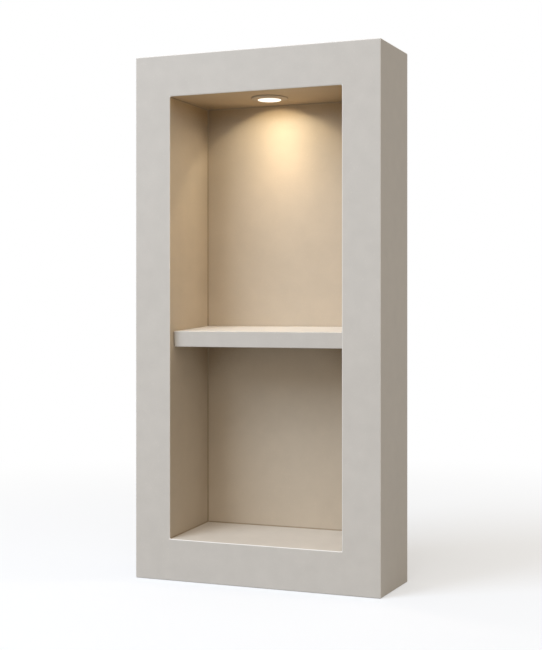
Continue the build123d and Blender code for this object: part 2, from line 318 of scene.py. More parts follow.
class StoneGrain(Effect):
    """Clouded tone, fine grain, pale flecks and pinholes of a cast mineral mix."""

    name = "stone_grain"
    takes = {"Place": "Vector", "Cloud": "Float", "Grain": "Float", "Pinholes": "Float"}
    gives = {"Tone": "Float", "Fleck": "Float", "Height": "Float", "Sheen": "Float"}
    cloud_scale = 6.0
    cloud_detail = 3.0
    mottle_scale = 48.0
    mottle_detail = 4.0
    mottle_share = 1.3
    mottle_height = 0.5
    grain_scale = 620.0
    grain_detail = 2.0
    grain_sheen = 0.3
    fleck_scale = 260.0
    cells_without_fleck = 0.82
    pinhole_scale = 240.0
    cells_without_pinhole = 0.8
    pinhole_depth = 4.0
    pinhole_shade = -0.25
    dot_core = 0.12
    dot_edge = 0.34

    def fill(self, graph: Graph, source: dict[str, Socket]) -> dict[str, Socket]:
        """Adds the clouds, the grain, the flecks and the pinholes.

        Args:
            graph: Graph of the group.
            source: The group's input sockets, by name.

        Returns:
            Tone, mask of the flecks, height and sheen.
        """
        place = source["Place"]
        clouds = graph.noise(place, self.cloud_scale, self.cloud_detail)
        mottle = graph.noise(place, self.mottle_scale, self.mottle_detail)
        grain = graph.noise(place, self.grain_scale, self.grain_detail)
        fleck = self.sparse_dots(graph, place, self.fleck_scale, self.cells_without_fleck)
        pinhole = self.sparse_dots(graph, place, self.pinhole_scale, self.cells_without_pinhole)
        pinhole = graph.maths("MULTIPLY", pinhole, source["Pinholes"])
        large = graph.maths("MULTIPLY_ADD", mottle, self.mottle_share, clouds)
        tone = graph.maths("MULTIPLY_ADD", large, source["Cloud"], 1.0)
        tone = graph.maths("MULTIPLY_ADD", grain, source["Grain"], tone)
        tone = graph.maths("MULTIPLY_ADD", pinhole, self.pinhole_shade, tone)
        height = graph.maths("MULTIPLY_ADD", mottle, self.mottle_height, grain)
        height = graph.maths("SUBTRACT", height, graph.maths("MULTIPLY", pinhole, self.pinhole_depth))
        sheen = graph.maths("MULTIPLY_ADD", grain, self.grain_sheen, mottle)
        return {"Tone": tone, "Fleck": fleck, "Height": height, "Sheen": sheen}

    def sparse_dots(self, graph: Graph, place: Socket, scale: float, share: float) -> Socket:
        """Soft dots in some cells of a random grid.

        Args:
            graph: Graph of the group.
            place: Position vector.
            scale: Cells in a metre.
            share: Share of the cells that stay empty.

        Returns:
            Mask of the dots.
        """
        cells = graph.add("TexVoronoi", {"Vector": place, "Scale": scale})
        chosen = graph.add("SeparateColor", {0: cells.outputs["Color"]}).outputs[0]
        chosen = graph.maths("GREATER_THAN", chosen, share)
        dot = graph.remap(cells.outputs["Distance"], self.dot_core, self.dot_edge, 1.0, 0.0)
        return graph.maths("MULTIPLY", dot, chosen)


class ArrisMask(Effect):
    """Finds the outward arrises of a small solid."""

    name = "arris_mask"
    takes = {"Reach": "Float"}
    gives = {"Arris": "Float"}
    rays = 8
    sharp_look = 0.55
    flat_look = 0.98

    def fill(self, graph: Graph, source: dict[str, Socket]) -> dict[str, Socket]:
        """Adds an occlusion look into the solid."""
        look = graph.add(
            "AmbientOcclusion",
            {"Distance": source["Reach"]},
            inside=True,
            only_local=True,
            samples=self.rays,
        )
        return {"Arris": graph.remap(look.outputs["AO"], self.sharp_look, self.flat_look, 1.0, 0.0)}


class DeepCorners(Effect):
    """Finds deep corners: in full where three faces meet, and in part where two do."""

    name = "deep_corners"
    takes = {"Reach": "Float"}
    gives = {"Deep": "Float"}
    rays = 8
    closed_look = 0.28
    open_look = 0.64

    def fill(self, graph: Graph, source: dict[str, Socket]) -> dict[str, Socket]:
        """Adds an occlusion look out of the surface."""
        look = graph.add("AmbientOcclusion", {"Distance": source["Reach"]}, samples=self.rays)
        return {"Deep": graph.remap(look.outputs["AO"], self.closed_look, self.open_look, 1.0, 0.0)}


class TurnedLines(Effect):
    """Fine tool lines of a turned or drawn metal piece."""

    name = "turned_lines"
    takes = {"Along": "Float", "Across": "Float", "Place": "Vector"}
    gives = {"Tone": "Float", "Height": "Float"}
    line_scale = 3800.0
    line_detail = 1.0
    line_share = 0.6
    band_scale = 420.0
    band_detail = 2.0
    blotch_scale = 90.0
    blotch_detail = 3.0
    blotch_share = 0.5

    def fill(self, graph: Graph, source: dict[str, Socket]) -> dict[str, Socket]:
        """Adds lines that run round the piece and soft blotches over them.

        Args:
            graph: Graph of the group.
            source: The group's input sockets, by name.

        Returns:
            Tone and height.
        """
        track = graph.add("CombineXYZ", {0: source["Along"], 1: source["Across"]}).outputs[0]
        lines = graph.noise(track, self.line_scale, self.line_detail)
        bands = graph.noise(track, self.band_scale, self.band_detail)
        blotch = graph.noise(source["Place"], self.blotch_scale, self.blotch_detail)
        tone = graph.maths("MULTIPLY_ADD", lines, self.line_share, bands)
        tone = graph.maths("MULTIPLY_ADD", blotch, self.blotch_share, tone)
        return {"Tone": tone, "Height": lines}


class MouldedSkin(Effect):
    """Fine spark-eroded grain of a moulded or painted piece, with a soft uneven tone."""

    name = "moulded_skin"
    takes = {"Place": "Vector", "Scale": "Float"}
    gives = {"Tone": "Float", "Height": "Float"}
    grain_detail = 2.0
    grain_share = 0.4
    cloud_ratio = 0.06
    cloud_detail = 3.0

    def fill(self, graph: Graph, source: dict[str, Socket]) -> dict[str, Socket]:
        """Adds the grain and the slow change of tone.

        Args:
            graph: Graph of the group.
            source: The group's input sockets, by name.

        Returns:
            Tone and height.
        """
        grain = graph.noise(source["Place"], source["Scale"], self.grain_detail)
        cloud_scale = graph.maths("MULTIPLY", source["Scale"], self.cloud_ratio)
        cloud = graph.noise(source["Place"], cloud_scale, self.cloud_detail)
        return {"Tone": graph.maths("MULTIPLY_ADD", grain, self.grain_share, cloud), "Height": grain}


STONE_GRAIN = StoneGrain()
ARRIS_MASK = ArrisMask()
DEEP_CORNERS = DeepCorners()
TURNED_LINES = TurnedLines()
MOULDED_SKIN = MouldedSkin()


# Finishes


@dataclass(frozen=True)
class Finish:
    """What every finish has: its slot, colour, roughness and share of gloss."""

    slot: Slot
    colour: Colour
    roughness: float
    specular: float = 0.5
    metallic: float = 0.0

    def label(self) -> str:
        """Name of the finish's material, unlike the plain one that model.glb brings."""
        return f"{self.slot.value}_finish"

    def material(self) -> bpy.types.Material:
        """The finish's material, built on the first call.

        Returns:
            The material.
        """
        name = self.label()
        if name in bpy.data.materials:
            return bpy.data.materials[name]
        material = bpy.data.materials.new(name)
        material.use_nodes = True
        graph = Graph(material.node_tree)
        shader = graph.add("BsdfPrincipled")
        shader.inputs["Specular IOR Level"].default_value = self.specular
        shader.inputs["Metallic"].default_value = self.metallic
        output = graph.add("OutputMaterial")
        graph.feed(output.inputs["Surface"], shader.outputs[0])
        place = graph.add("TexCoord").outputs["Object"]
        self.paint(graph, shader, place)
        return material

    def paint(self, graph: Graph, shader: bpy.types.Node, place: Socket) -> None:
        """Feeds colour, roughness and relief to the shader.

        Args:
            graph: Graph of the material.
            shader: Its Principled shader.
            place: Position on the piece.
        """
        raise NotImplementedError

    def vary_roughness(self, graph: Graph, tone: Socket, spread: float) -> Socket:
        """Roughness that changes with a tone."""
        return graph.maths("MULTIPLY_ADD", tone, spread, self.roughness)

    def vary_colour(self, graph: Graph, tone: Socket, spread: float) -> Socket:
        """Colour that changes with a tone."""
        return graph.shade(self.colour, graph.maths("MULTIPLY_ADD", tone, spread, 1.0))


@dataclass(frozen=True)
class CastStone(Finish):
    """Matt cast stone with a fine grain and a painted highlight along its arrises."""

    outside: list[Plane] = field(default_factory=list)
    arris_highlight_colour: Colour = (0.86, 0.85, 0.83)
    arris_highlight_width: float = 0.0013
    cloud: float = 0.042
    grain: float = 0.02
    fleck: float = 0.04
    relief: float = 0.00004
    sheen: float = 0.05
    line_core: float = 0.3

    def paint(self, graph: Graph, shader: bpy.types.Node, place: Socket) -> None:
        """Paints the stone as a polished mould leaves it.

        Args:
            graph: Graph of the material.
            shader: Its Principled shader.
            place: Position on the piece.
        """
        grain = STONE_GRAIN.place(graph, Place=place, Cloud=self.cloud, Grain=self.grain, Pinholes=0.0)
        colour = self.tint(graph, self.colour, grain)
        # Painted highlight: the arrises are paler, as where the rounded edges catch the light.
        arris = self.line(graph, graph.two_gaps(place, self.outside)[1], self.arris_highlight_width)
        graph.feed(shader.inputs["Base Color"], graph.mix(arris, colour, self.arris_highlight_colour))
        graph.feed(shader.inputs["Roughness"], self.vary_roughness(graph, grain["Sheen"], self.sheen))
        graph.feed(shader.inputs["Normal"], graph.bump(grain["Height"], self.relief))

    def tint(self, graph: Graph, colour: object, grain: dict[str, Socket]) -> Socket:
        """Colour of the stone with its clouds, grain and flecks."""
        return graph.shade(colour, graph.maths("MULTIPLY_ADD", grain["Fleck"], self.fleck, grain["Tone"]))

    def line(self, graph: Graph, distance: Socket, width: float) -> Socket:
        """Soft mask that is one along an edge and zero a width away from it."""
        return graph.remap(distance, width * self.line_core, width, 1.0, 0.0)


@dataclass(frozen=True)
class CasingStone(CastStone):
    """The casing's stone, which differs from place to place.

    Its recess walls carry a painted warm shade, darkest under the ceiling, its floor a painted light, and
    its deep corners a painted shade; it is rough and pinholed in the hollow back.
    """

    front: Plane | None = None
    skirt: list[Plane] = field(default_factory=list)
    sides: list[Plane] = field(default_factory=list)
    ceiling: Plane | None = None
    floor: Plane | None = None
    shelf_top: Plane | None = None
    half_wall: float = 0.003
    skin: float = 0.0006
    # Painted shade and light of the recess: warm shade on its walls, browner under its ceiling, and a
    # paler floor as if lit from above.
    wall_shade_colour: Colour = (0.54, 0.46, 0.36)
    ceiling_shade_colour: Colour = (0.53, 0.40, 0.25)
    ceiling_shade_fade: float = 0.03
    floor_colour: Colour = (0.655, 0.60, 0.53)
    # Painted shade in the recess's deep corners, strongest where three faces meet.
    corner_shade_colour: Colour = (0.25, 0.16, 0.07)
    corner_shade_reach: float = 0.085
    corner_shade_start: float = 0.3
    corner_shade: float = 0.7
    # Painted shade: thin dark lines along the recess's inner corners, where its faces meet.
    crease_shade_colour: Colour = (0.30, 0.23, 0.15)
    crease_shade_width: float = 0.0022
    back_cloud: float = 0.05
    back_grain: float = 0.03
    back_roughness: float = 0.25
    back_relief: float = 4.0

    def label(self) -> str:
        """Name of the casing's own material."""
        return f"{self.slot.value}_casing"

    def recess(self) -> list[Plane]:
        """Every face of the recess."""
        return [*self.sides, self.ceiling, self.floor]

    def paint(self, graph: Graph, shader: bpy.types.Node, place: Socket) -> None:
        """Paints the show side, the recess and the hollow between skirt and tub.

        Args:
            graph: Graph of the material.
            shader: Its Principled shader.
            place: Position on the piece.
        """
        tub = [plane.moved(self.half_wall) for plane in self.recess()]
        in_tub = graph.within(place, tub)
        in_recess = graph.within(place, [*tub, self.front.moved(-self.skin)])
        outside_tub = graph.maths("SUBTRACT", 1.0, in_tub)
        back = graph.maths("MULTIPLY", graph.within(place, self.skirt), outside_tub)
        grain = STONE_GRAIN.place(
            graph,
            Place=place,
            Cloud=graph.maths("MULTIPLY_ADD", back, self.back_cloud, self.cloud),
            Grain=graph.maths("MULTIPLY_ADD", back, self.back_grain, self.grain),
            Pinholes=back,
        )
        # Painted warm shade on the recess walls and painted light on its floor.
        colour = graph.mix(in_recess, self.colour, self.recess_light_and_shade(graph, place))
        colour = self.tint(graph, colour, grain)
        # Painted shade in the deep corners of the recess.
        corner_shade = graph.maths("MULTIPLY", self.shaded_corners(graph, place), in_recess)
        colour = graph.mix(graph.maths("MULTIPLY", corner_shade, self.corner_shade), colour, self.corner_shade_colour)
        colour = self.draw_edges(graph, place, in_recess, colour)
        roughness = self.vary_roughness(graph, grain["Sheen"], self.sheen)
        roughness = graph.maths("MULTIPLY_ADD", back, self.back_roughness, roughness)
        relief = graph.maths("MULTIPLY_ADD", back, self.back_relief, 1.0)
        relief = graph.maths("MULTIPLY", grain["Height"], relief)
        graph.feed(shader.inputs["Base Color"], colour)
        graph.feed(shader.inputs["Roughness"], roughness)
        graph.feed(shader.inputs["Normal"], graph.bump(relief, self.relief))

    def recess_light_and_shade(self, graph: Graph, place: Socket) -> Socket:
        """Painted light and shade of the recess: warm shade on its walls, browner under its ceiling, and
        a paler floor as if lit from above.

        Args:
            graph: Graph of the material.
            place: Position on the casing.

        Returns:
            The colour.
        """
        near_ceiling = graph.remap(graph.gap(place, self.ceiling), 0.0, self.ceiling_shade_fade, 1.0, 0.0)
        above_floor = graph.maths("GREATER_THAN", graph.gap(place, self.floor), self.skin)
        colour = graph.mix(near_ceiling, self.wall_shade_colour, self.ceiling_shade_colour)
        return graph.mix(above_floor, self.floor_colour, colour)

    def shaded_corners(self, graph: Graph, place: Socket) -> Socket:
        """Mask of the deep corners that get the painted shade: not those just over the floor or the
        shelf.

        Args:
            graph: Graph of the material.
            place: Position on the casing.

        Returns:
            The mask.
        """
        deep = DEEP_CORNERS.place(graph, Reach=self.corner_shade_reach)["Deep"]
        start = self.corner_shade_reach * self.corner_shade_start
        for base in (self.floor, self.shelf_top):
            height = graph.gap(place, base)
            below = graph.maths("LESS_THAN", height, 0.0)
            high_up = graph.remap(height, start, self.corner_shade_reach, 0.0, 1.0)
            deep = graph.maths("MULTIPLY", deep, graph.maths("MAXIMUM", below, high_up))
        return deep

    def draw_edges(self, graph: Graph, place: Socket, in_recess: Socket, colour: Socket) -> Socket:
        """Draws the painted highlight along the arrises and the painted shade along the recess's inner
        corners.

        Args:
            graph: Graph of the material.
            place: Position on the casing.
            in_recess: Mask of the recess.
            colour: Colour without the lines.

        Returns:
            The colour with the lines.
        """
        nearest, next_nearest = graph.two_gaps(place, self.recess())
        # Painted shade along the recess's inner corners, where its faces meet.
        crease_shade = graph.maths("MULTIPLY", self.line(graph, next_nearest, self.crease_shade_width), in_recess)
        to_front = graph.maths("ABSOLUTE", graph.gap(place, self.front))
        to_mouth = graph.maths("MAXIMUM", to_front, graph.maths("ABSOLUTE", nearest))
        # Painted highlight along the mouth of the recess and the outer arrises.
        mouth = self.line(graph, to_mouth, self.arris_highlight_width)
        outer = self.line(graph, graph.two_gaps(place, self.outside)[1], self.arris_highlight_width)
        colour = graph.mix(crease_shade, colour, self.crease_shade_colour)
        return graph.mix(graph.maths("MAXIMUM", mouth, outer), colour, self.arris_highlight_colour)


@dataclass(frozen=True)
class Skinned(Finish):
    """Paint, plastic, rubber or silicone with a fine moulded grain."""

    grain_scale: float = 1600.0
    tone_spread: float = 0.05
    relief: float = 0.00003
    rub_colour: Colour = (0.5, 0.5, 0.5)
    rub: float = 0.2
    rub_reach: float = 0.0006
    roughness_spread: float = 0.08

    def paint(self, graph: Graph, shader: bpy.types.Node, place: Socket) -> None:
        """Paints the skin, rubbed paler along its arrises.

        Args:
            graph: Graph of the material.
            shader: Its Principled shader.
            place: Position on the piece.
        """
        skin = MOULDED_SKIN.place(graph, Place=place, Scale=self.grain_scale)
        edge = ARRIS_MASK.place(graph, Reach=self.rub_reach)
        colour = self.vary_colour(graph, skin["Tone"], self.tone_spread)
        rubbed = graph.maths("MULTIPLY", edge["Arris"], self.rub)
        graph.feed(shader.inputs["Base Color"], graph.mix(rubbed, colour, self.rub_colour))
        roughness = self.vary_roughness(graph, skin["Tone"], self.roughness_spread)
        graph.feed(shader.inputs["Roughness"], roughness)
        graph.feed(shader.inputs["Normal"], graph.bump(skin["Height"], self.relief))


@dataclass(frozen=True)
class TurnedMetal(Finish):
    """Bare metal with tool lines round the axis that it was turned about."""

    turning: Turning = Turning.LAMP
    centre: Point = (0.0, 0.0, 0.0)
    tone_spread: float = 0.05
    roughness_spread: float = 0.1
    relief: float = 0.00001
    bright_colour: Colour = (0.95, 0.95, 0.95)
    bright_share: float = 0.5
    wear: float = 0.5
    wear_reach: float = 0.0005

    def paint(self, graph: Graph, shader: bpy.types.Node, place: Socket) -> None:
        """Paints the metal, brighter along its arrises.

        Args:
            graph: Graph of the material.
            shader: Its Principled shader.
            place: Position on the piece.
        """
        offset = graph.vectors("SUBTRACT", place, self.centre)
        parts = graph.add("SeparateXYZ", {0: offset}).outputs
        along = parts[self.turning.value]
        flat = [part for part in parts if part.name != self.turning.value]
        squares = [graph.maths("MULTIPLY", part, part) for part in flat]
        across = graph.maths("SQRT", graph.maths("ADD", *squares))
        lines = TURNED_LINES.place(graph, Along=along, Across=across, Place=place)
        edge = ARRIS_MASK.place(graph, Reach=self.wear_reach)
        colour = self.vary_colour(graph, lines["Tone"], self.tone_spread)
        bright = graph.mix(self.bright_share, colour, self.bright_colour)
        worn = graph.maths("MULTIPLY", edge["Arris"], self.wear)
        roughness = self.vary_roughness(graph, lines["Tone"], self.roughness_spread)
        graph.feed(shader.inputs["Base Color"], graph.mix(worn, colour, bright))
        graph.feed(shader.inputs["Roughness"], roughness)
        graph.feed(shader.inputs["Normal"], graph.bump(lines["Height"], self.relief))


@dataclass(frozen=True)
class Glowing(Finish):
    """Lit emitter, brightest in the middle."""

    centre: Point = (0.0, 0.0, 0.0)
    radius: float = 0.016
    rim_colour: Colour = (0.50, 0.38, 0.25)
    middle_glow: Colour = (1.0, 0.95, 0.84)
    rim_glow: Colour = (0.10, 0.06, 0.02)
    rim_start: float = 0.86
    strength: float = 1.0
    frost_scale: float = 2600.0
    frost_tone: float = 0.03
    frost_roughness: float = 0.06
    frost_relief: float = 0.00002

    def fade(self, graph: Graph, place: Socket) -> Socket:
        """Zero in the middle and one at the rim.

        Args:
            graph: Graph of the material.
            place: Position on the piece.

        Returns:
            The share of the rim.
        """
        flat = graph.vectors("MULTIPLY", graph.vectors("SUBTRACT", place, self.centre), (1.0, 1.0, 0.0))
        reach = graph.add("VectorMath", {0: flat}, operation="LENGTH").outputs["Value"]
        return graph.remap(reach, self.rim_start * self.radius, self.radius, 0.0, 1.0)

    def paint(self, graph: Graph, shader: bpy.types.Node, place: Socket) -> None:
        """Paints the frosting and the glow that fades to the rim.

        Args:
            graph: Graph of the material.
            shader: Its Principled shader.
            place: Position on the piece.
        """
        fade = self.fade(graph, place)
        frost = MOULDED_SKIN.place(graph, Place=place, Scale=self.frost_scale)
        frosted = self.vary_colour(graph, frost["Tone"], self.frost_tone)
        roughness = self.vary_roughness(graph, frost["Tone"], self.frost_roughness)
        graph.feed(shader.inputs["Base Color"], graph.mix(fade, frosted, self.rim_colour))
        graph.feed(shader.inputs["Roughness"], roughness)
        graph.feed(shader.inputs["Emission Color"], graph.mix(fade, self.middle_glow, self.rim_glow))
        shader.inputs["Emission Strength"].default_value = self.strength
        graph.feed(shader.inputs["Normal"], graph.bump(frost["Height"], self.frost_relief))


@dataclass(frozen=True)
class GlowingLens(Glowing):
    """Lit lens: its domed face glows and its upright edge stays dim."""

    face_level: float = 0.0
    edge_height: float = 0.0008

    def fade(self, graph: Graph, place: Socket) -> Socket:
        """Zero on the face and one on the upright edge."""
        height = graph.add("SeparateXYZ", {0: place}).outputs["Z"]
        return graph.remap(height, self.face_level, self.face_level + self.edge_height, 0.0, 1.0)


PIN_STEEL = TurnedMetal(
    Slot.PIN_STEEL, (0.62, 0.62, 0.63), roughness=0.32, metallic=1.0, turning=Turning.PIN
)
SEAL_RUBBER = Skinned(
    Slot.SEAL_RUBBER, (0.025, 0.025, 0.025), roughness=0.55, rub_colour=(0.06, 0.06, 0.06)
)


def middle(node: str) -> Point:
    """Middle of a CAD node's box."""
    low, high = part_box(node)
    return tuple((low + high) / 2)


def dress(node: str, finish: Finish) -> None:
    """Gives a CAD node its finish.

    Args:
        node: Name of the node.
        finish: The finish that it gets.
    """
    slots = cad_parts[node].data.materials
    slots.clear()
    slots.append(finish.material())
    LOG.info("dressed %s in %s", node, finish.slot.value)


# Casing and shelf


@dataclass
class Casing:
    """One-piece cast casing with its recess and hollow back, and the shelf in it."""

    wall: float = 0.006
    side_margin: float = 0.053
    end_margin: float = 0.057
    side_draft_deg: float = 2.7
    ceiling_draft_deg: float = 1.9
    floor_pitch_deg: float = 4.1
    shelf_pitch_deg: float = 3.5
    stone_colour: Colour = (0.60, 0.575, 0.54)
    roughness: float = 0.6
    specular: float = 0.35

    def recess_sides(self) -> list[Plane]:
        """Tapered left and right sides of the recess, and its back.

        Returns:
            The three planes, facing outwards.
        """
        low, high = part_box("niche_body")
        draft = math.radians(self.side_draft_deg)
        half_opening = high.x - self.side_margin
        return [
            Plane.through((-half_opening, low.y, 0.0), (-math.cos(draft), math.sin(draft), 0.0)),
            Plane.through((half_opening, low.y, 0.0), (math.cos(draft), math.sin(draft), 0.0)),
            Plane.through((0.0, high.y - self.wall, 0.0), (0.0, 1.0, 0.0)),
        ]

    def recess_ceiling(self) -> Plane:
        """Ceiling of the recess, which falls to the back.

        Returns:
            The plane, facing up.
        """
        low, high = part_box("niche_body")
        fall = math.radians(self.ceiling_draft_deg)
        front_edge = (0.0, low.y, high.z - self.end_margin)
        return Plane.through(front_edge, (0.0, math.sin(fall), math.cos(fall)))

    def recess_floor(self) -> Plane:
        """Floor of the recess, which rises to the back.

        Returns:
            The plane, facing down.
        """
        low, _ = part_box("niche_body")
        pitch = math.radians(self.floor_pitch_deg)
        front_edge = (0.0, low.y, low.z + self.end_margin)
        return Plane.through(front_edge, (0.0, math.sin(pitch), -math.cos(pitch)))

    def outer_planes(self) -> list[Plane]:
        """Front, sides, top and bottom of the casing, with the front first."""
        low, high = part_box("niche_body")
        return [
            Plane.through(low, (0.0, -1.0, 0.0)),
            Plane.through(low, (-1.0, 0.0, 0.0)),
            Plane.through(high, (1.0, 0.0, 0.0)),
            Plane.through(low, (0.0, 0.0, -1.0)),
            Plane.through(high, (0.0, 0.0, 1.0)),
        ]

    def shelf_planes(self) -> list[Plane]:
        """Front, top, underside and ends of the pitched shelf.

        Returns:
            The five planes, facing outwards.
        """
        low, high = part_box("shelf")
        pitch = math.radians(self.shelf_pitch_deg)
        up = Vector((0.0, -math.sin(pitch), math.cos(pitch)))
        front = Vector((0.0, -math.cos(pitch), -math.sin(pitch)))
        return [
            Plane.through(low, front),
            Plane.through(high, up),
            Plane.through(low, -up),
            Plane.through(low, (-1.0, 0.0, 0.0)),
            Plane.through(high, (1.0, 0.0, 0.0)),
        ]

    def shelf_top(self) -> Plane:
        """Top of the shelf as the upper compartment's floor.

        Returns:
            The plane, facing down.
        """
        pitch = math.radians(self.shelf_pitch_deg)
        back_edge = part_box("shelf")[1]
        return Plane.through(back_edge, (0.0, math.sin(pitch), -math.cos(pitch)))

    def stone(self) -> CasingStone:
        """Stone of the casing, with the planes that part its show side, recess and back."""
        outside = self.outer_planes()
        return CasingStone(
            slot=Slot.CAST_STONE,
            colour=self.stone_colour,
            roughness=self.roughness,
            specular=self.specular,
            outside=outside,
            front=outside[0],
            skirt=[plane.moved(-self.wall / 2) for plane in outside],
            sides=self.recess_sides(),
            ceiling=self.recess_ceiling(),
            floor=self.recess_floor(),
            shelf_top=self.shelf_top(),
            half_wall=self.wall / 2,
        )

    def shelf_stone(self) -> CastStone:
        """Stone of the shelf."""
        return CastStone(
            slot=Slot.CAST_STONE,
            colour=self.stone_colour,
            roughness=self.roughness,
            specular=self.specular,
            outside=self.shelf_planes(),
        )

    def dress(self) -> None:
        """Dresses the casing, the shelf and its pins."""
        dress("niche_body", self.stone())
        dress("shelf", self.shelf_stone())
        dress("shelf_pins", PIN_STEEL)


# Modelling by hand


def start_clean() -> None:
    """Leaves edit mode and deselects everything."""
    if bpy.context.mode != "OBJECT":
        bpy.ops.object.mode_set(mode="OBJECT")
    bpy.ops.object.select_all(action="DESELECT")


def keep_piece(piece: bpy.types.Object, name: str, finish: Finish) -> None:
    """Names a finished piece, puts its place into its mesh, and lets it ride the body.

    Args:
        piece: The modelled object, selected and active.
        name: Its name.
        finish: Its finish.
    """
    bpy.ops.object.transform_apply(location=True, rotation=True, scale=True)
    piece.name = name
    piece.data.name = name
    piece.data.materials.clear()
    piece.data.materials.append(finish.material())
    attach(piece, BODY)
    LOG.info("modelled %s with %d faces", name, len(piece.data.polygons))


# Lamp


@dataclass
class LampTrim:
    """Painted trim ring with its threaded sleeve, the gasket, and the nut that clamps it."""

    thread_pitch: float = 0.001
    thread_depth: float = 0.0005
    thread_sink: float = 0.0002
    ridge_corners: int = 3
    steps_per_turn: int = 96
    smooth_deg: float = 40.0
    sleeve_flange: float = 0.005

    def ring_finish(self) -> Skinned:
        """Matt paint of the trim ring: its colour is the recess ceiling's painted warm shade, not the
        stone's own colour.
        """
        return Skinned(
            Slot.TRIM_PAINT,
            # Painted shade: the ring takes the ceiling's warm shaded tone.
            (0.54, 0.44, 0.32),
            roughness=0.7,
            specular=0.2,
            grain_scale=1500.0,
            tone_spread=0.03,
            rub_colour=(0.50, 0.37, 0.22),
            rub=0.5,
        )

    def dress(self) -> None:
        """Dresses the ring, gasket, washer and nut."""
        plastic = Skinned(
            Slot.NUT_PLASTIC,
            (0.03, 0.03, 0.032),
            roughness=0.45,
            tone_spread=0.15,
            rub_colour=(0.12, 0.12, 0.12),
        )
        silicone = Skinned(
            Slot.GASKET_SILICONE,
            (0.36, 0.33, 0.29),
            roughness=0.6,
            grain_scale=900.0,
            rub_colour=(0.42, 0.39, 0.35),
        )
        dress("trim_ring", self.ring_finish())
        dress("ceiling_gasket", silicone)
        dress("nut_washer", plastic)
        dress("ring_nut", plastic)

    def build(self) -> None:
        """Models the turns of thread that show between the nut and the heat sink."""
        ring_low, ring_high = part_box("trim_ring")
        nut_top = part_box("ring_nut")[1].z
        axis = (ring_low + ring_high) / 2
        sleeve_radius = (ring_high.x - ring_low.x) / 2 - self.sleeve_flange
        turns = int((ring_high.z - nut_top) / self.thread_pitch) - 1
        thread = self.start_ridge((axis.x, axis.y, nut_top), sleeve_radius)
        self.wind(thread, turns)
        keep_piece(thread, "sleeve_thread", self.ring_finish())

    def start_ridge(self, foot: Point, sleeve_radius: float) -> bpy.types.Object:
        """Models the ridge's triangle, standing on the sleeve.

        Args:
            foot: Point on the sleeve's axis where the thread starts.
            sleeve_radius: Radius that the ridge stands on.

        Returns:
            The triangle, with the object's origin on the axis.
        """
        half_pitch = self.thread_pitch / 2
        quarter = math.pi / 2
        start_clean()
        bpy.ops.mesh.primitive_circle_add(
            vertices=self.ridge_corners, radius=half_pitch, fill_type="NOTHING", location=foot
        )
        ridge = bpy.context.active_object
        bpy.ops.object.mode_set(mode="EDIT")
        bpy.ops.mesh.select_all(action="SELECT")
        for axis in ("X", "Y"):
            bpy.ops.transform.rotate(value=quarter, orient_axis=axis, center_override=foot)
        bpy.ops.object.mode_set(mode="OBJECT")
        reaches = [corner.co.x for corner in ridge.data.vertices]
        scale = (self.thread_depth + self.thread_sink) / (max(reaches) - min(reaches))
        shift = sleeve_radius - self.thread_sink - min(reaches) * scale
        bpy.ops.object.mode_set(mode="EDIT")
        bpy.ops.mesh.select_all(action="SELECT")
        bpy.ops.transform.resize(value=(scale, 1.0, 1.0), center_override=foot)
        bpy.ops.transform.translate(value=(shift, 0.0, half_pitch))
        bpy.ops.object.mode_set(mode="OBJECT")
        return ridge

    def wind(self, ridge: bpy.types.Object, turns: int) -> None:
        """Winds the ridge round the sleeve, closes its ends and smooths it.

        Args:
            ridge: The ridge's triangle, selected and active.
            turns: How many turns it makes.
        """
        screw = ridge.modifiers.new("turns", "SCREW")
        screw.axis = "Z"
        screw.screw_offset = self.thread_pitch
        screw.iterations = turns
        screw.steps = self.steps_per_turn
        screw.render_steps = self.steps_per_turn
        screw.use_merge_vertices = False
        bpy.ops.object.modifier_apply(modifier=screw.name)
        bpy.ops.object.mode_set(mode="EDIT")
        bpy.ops.mesh.select_all(action="SELECT")
        bpy.ops.mesh.fill_holes(sides=self.ridge_corners)
        bpy.ops.mesh.select_all(action="SELECT")
        bpy.ops.mesh.normals_make_consistent(inside=False)
        bpy.ops.object.mode_set(mode="OBJECT")
        bpy.ops.object.shade_smooth_by_angle(angle=math.radians(self.smooth_deg))


@dataclass
class LightEngine:
    """Lens, reflector, emitter and board inside the lamp."""

    lens_face: float = 0.0016

    def lens_finish(self) -> GlowingLens:
        """Frosting and glow of the lens."""
        face_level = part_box("lens")[0].z + self.lens_face
        return GlowingLens(Slot.FROSTED_LENS, (0.93, 0.90, 0.84), roughness=0.4, face_level=face_level)

    def phosphor(self) -> Glowing:
        """Yellow phosphor of the emitter."""
        low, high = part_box("led_emitter")
        return Glowing(
            Slot.EMITTER_PHOSPHOR,
            (0.90, 0.68, 0.12),
            roughness=0.35,
            centre=middle("lens"),
            radius=(high.x - low.x) / 2,
            rim_colour=(0.90, 0.68, 0.12),
            middle_glow=(1.0, 0.86, 0.6),
            rim_glow=(0.9, 0.62, 0.2),
        )

    def dress(self) -> None:
        """Dresses what the lamp holds, from the lens up."""
        mirror = TurnedMetal(
            Slot.REFLECTOR_METAL, (0.88, 0.88, 0.88), roughness=0.14, metallic=1.0, centre=middle("lens")
        )
        board = Skinned(
            Slot.BOARD_WHITE, (0.86, 0.86, 0.84), roughness=0.4, rub_colour=(0.5, 0.42, 0.28)
        )
        pad = Skinned(
            Slot.THERMAL_RUBBER, (0.36, 0.38, 0.42), roughness=0.75, grain_scale=1100.0, tone_spread=0.12
        )
        dress("lens", self.lens_finish())
        dress("lens_seal", SEAL_RUBBER)
        dress("reflector", mirror)
        dress("led_emitter", self.phosphor())
        dress("led_board", board)
        dress("thermal_pad", pad)
        dress("board_screws", PIN_STEEL)


